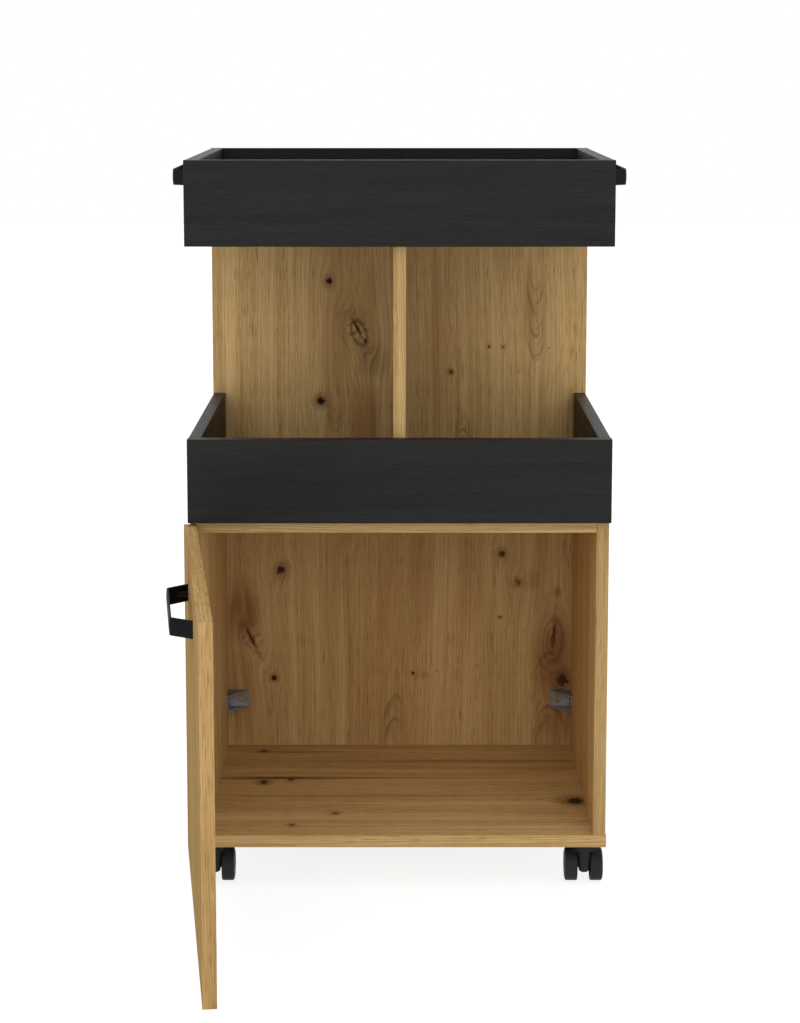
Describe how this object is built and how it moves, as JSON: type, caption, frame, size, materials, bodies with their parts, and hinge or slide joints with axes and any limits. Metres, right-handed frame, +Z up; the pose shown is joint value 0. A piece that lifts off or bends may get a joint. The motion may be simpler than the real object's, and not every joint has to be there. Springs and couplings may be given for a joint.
{
  "type": "serving cart",
  "caption": "Rolling serving cart: a door cabinet with a tray on top, and a tower with a divider that carries a second tray, with strap handles and twin-wheel castors.",
  "frame": {"origin": "on the floor, in the middle of the cart's whole outline with its door standing open at 83 degrees, as it rests", "axes": "+Z up, out of the tray floors; +Y from the door's side towards the back panel; +X to the right, seen from the front, across the narrowest extent"},
  "size_m": [0.5512, 0.8884, 0.8835],
  "materials": {
    "oak_board": "oak-grain laminate, satin",
    "black_laminate": "black wood-grain laminate, satin",
    "black_strap": "black powder coat",
    "bracket_steel": "zinc-plated pressed sheet",
    "castor_wheel": "moulded black nylon",
    "castor_body": "moulded black nylon",
    "zinc_steel": "zinc-plated",
    "nickel_steel": "nickel-plated",
    "dowel_wood": "raw beech"
  },
  "bodies": {
    "cabinet": {"bottom_panel": "oak_board", "left_side_panel": "oak_board", "right_side_panel": "oak_board", "top_panel": "oak_board", "back_panel": "oak_board", "divider_panel": "oak_board", "lower_tray_floor": "black_laminate", "lower_tray_front_board": "black_laminate", "lower_tray_left_board": "black_laminate", "lower_tray_right_board": "black_laminate", "lower_tray_dowels": "dowel_wood", "upper_tray_floor": "black_laminate", "upper_tray_front_board": "black_laminate", "upper_tray_back_board": "black_laminate", "upper_tray_left_board": "black_laminate", "upper_tray_right_board": "black_laminate", "upper_tray_dowels": "dowel_wood", "left_tray_handle": "black_strap", "right_tray_handle": "black_strap", "tray_handle_screws": "zinc_steel", "left_corner_bracket": "bracket_steel", "right_corner_bracket": "bracket_steel", "bracket_screws": "zinc_steel", "carcass_dowels": "dowel_wood", "bottom_panel_screws": "zinc_steel", "back_panel_screws": "zinc_steel", "divider_screws": "zinc_steel", "tray_floor_screws": "zinc_steel", "hinge_plates": "nickel_steel", "hinge_plate_screws": "zinc_steel", "lower_hinge_arm": "nickel_steel", "upper_hinge_arm": "nickel_steel", "hinge_arm_screws": "zinc_steel", "castor_plates": "castor_body", "castor_screws": "zinc_steel", "castor_stems": "zinc_steel"},
    "door": {"door_panel": "oak_board", "door_handle": "black_strap", "door_handle_screws": "zinc_steel", "lower_hinge_cup": "nickel_steel", "upper_hinge_cup": "nickel_steel", "hinge_pins": "zinc_steel", "hinge_cup_screws": "zinc_steel"},
    "front_left_castor": {"front_left_castor_body": "castor_body", "front_left_castor_axle": "zinc_steel"},
    "front_left_castor_left_wheel": {"front_left_castor_left_wheel": "castor_wheel"},
    "front_left_castor_right_wheel": {"front_left_castor_right_wheel": "castor_wheel"},
    "rear_left_castor": {"rear_left_castor_body": "castor_body", "rear_left_castor_axle": "zinc_steel"},
    "rear_left_castor_left_wheel": {"rear_left_castor_left_wheel": "castor_wheel"},
    "rear_left_castor_right_wheel": {"rear_left_castor_right_wheel": "castor_wheel"},
    "front_right_castor": {"front_right_castor_body": "castor_body", "front_right_castor_axle": "zinc_steel"},
    "front_right_castor_left_wheel": {"front_right_castor_left_wheel": "castor_wheel"},
    "front_right_castor_right_wheel": {"front_right_castor_right_wheel": "castor_wheel"},
    "rear_right_castor": {"rear_right_castor_body": "castor_body", "rear_right_castor_axle": "zinc_steel"},
    "rear_right_castor_left_wheel": {"rear_right_castor_left_wheel": "castor_wheel"},
    "rear_right_castor_right_wheel": {"rear_right_castor_right_wheel": "castor_wheel"}
  },
  "joints": [
    {"name": "door_hinge", "type": "hinge", "parent": "cabinet", "child": "door", "pos_m": [-0.2435, 0.04523, 0], "axis": [0, 0, 1], "range_deg": [-11.8, 83.2]},
    {"name": "front_left_castor_swivel", "type": "hinge", "parent": "cabinet", "child": "front_left_castor", "pos_m": [-0.2255, 0.07623, 0], "axis": [0, 0, 1], "continuous": true},
    {"name": "front_left_castor_left_wheel_spin", "type": "hinge", "parent": "front_left_castor", "child": "front_left_castor_left_wheel", "pos_m": [-0.2255, 0.09023, 0.02], "axis": [1, 0, 0], "continuous": true},
    {"name": "front_left_castor_right_wheel_spin", "type": "hinge", "parent": "front_left_castor", "child": "front_left_castor_right_wheel", "pos_m": [-0.2255, 0.09023, 0.02], "axis": [1, 0, 0], "continuous": true},
    {"name": "rear_left_castor_swivel", "type": "hinge", "parent": "cabinet", "child": "rear_left_castor", "pos_m": [-0.2255, 0.41923, 0], "axis": [0, 0, 1], "continuous": true},
    {"name": "rear_left_castor_left_wheel_spin", "type": "hinge", "parent": "rear_left_castor", "child": "rear_left_castor_left_wheel", "pos_m": [-0.2255, 0.40523, 0.02], "axis": [1, 0, 0], "continuous": true},
    {"name": "rear_left_castor_right_wheel_spin", "type": "hinge", "parent": "rear_left_castor", "child": "rear_left_castor_right_wheel", "pos_m": [-0.2255, 0.40523, 0.02], "axis": [1, 0, 0], "continuous": true},
    {"name": "front_right_castor_swivel", "type": "hinge", "parent": "cabinet", "child": "front_right_castor", "pos_m": [0.2255, 0.07623, 0], "axis": [0, 0, 1], "continuous": true},
    {"name": "front_right_castor_left_wheel_spin", "type": "hinge", "parent": "front_right_castor", "child": "front_right_castor_left_wheel", "pos_m": [0.2255, 0.09023, 0.02], "axis": [1, 0, 0], "continuous": true},
    {"name": "front_right_castor_right_wheel_spin", "type": "hinge", "parent": "front_right_castor", "child": "front_right_castor_right_wheel", "pos_m": [0.2255, 0.09023, 0.02], "axis": [1, 0, 0], "continuous": true},
    {"name": "rear_right_castor_swivel", "type": "hinge", "parent": "cabinet", "child": "rear_right_castor", "pos_m": [0.2255, 0.41923, 0], "axis": [0, 0, 1], "continuous": true},
    {"name": "rear_right_castor_left_wheel_spin", "type": "hinge", "parent": "rear_right_castor", "child": "rear_right_castor_left_wheel", "pos_m": [0.2255, 0.40523, 0.02], "axis": [1, 0, 0], "continuous": true},
    {"name": "rear_right_castor_right_wheel_spin", "type": "hinge", "parent": "rear_right_castor", "child": "rear_right_castor_right_wheel", "pos_m": [0.2255, 0.40523, 0.02], "axis": [1, 0, 0], "continuous": true}
  ]
}
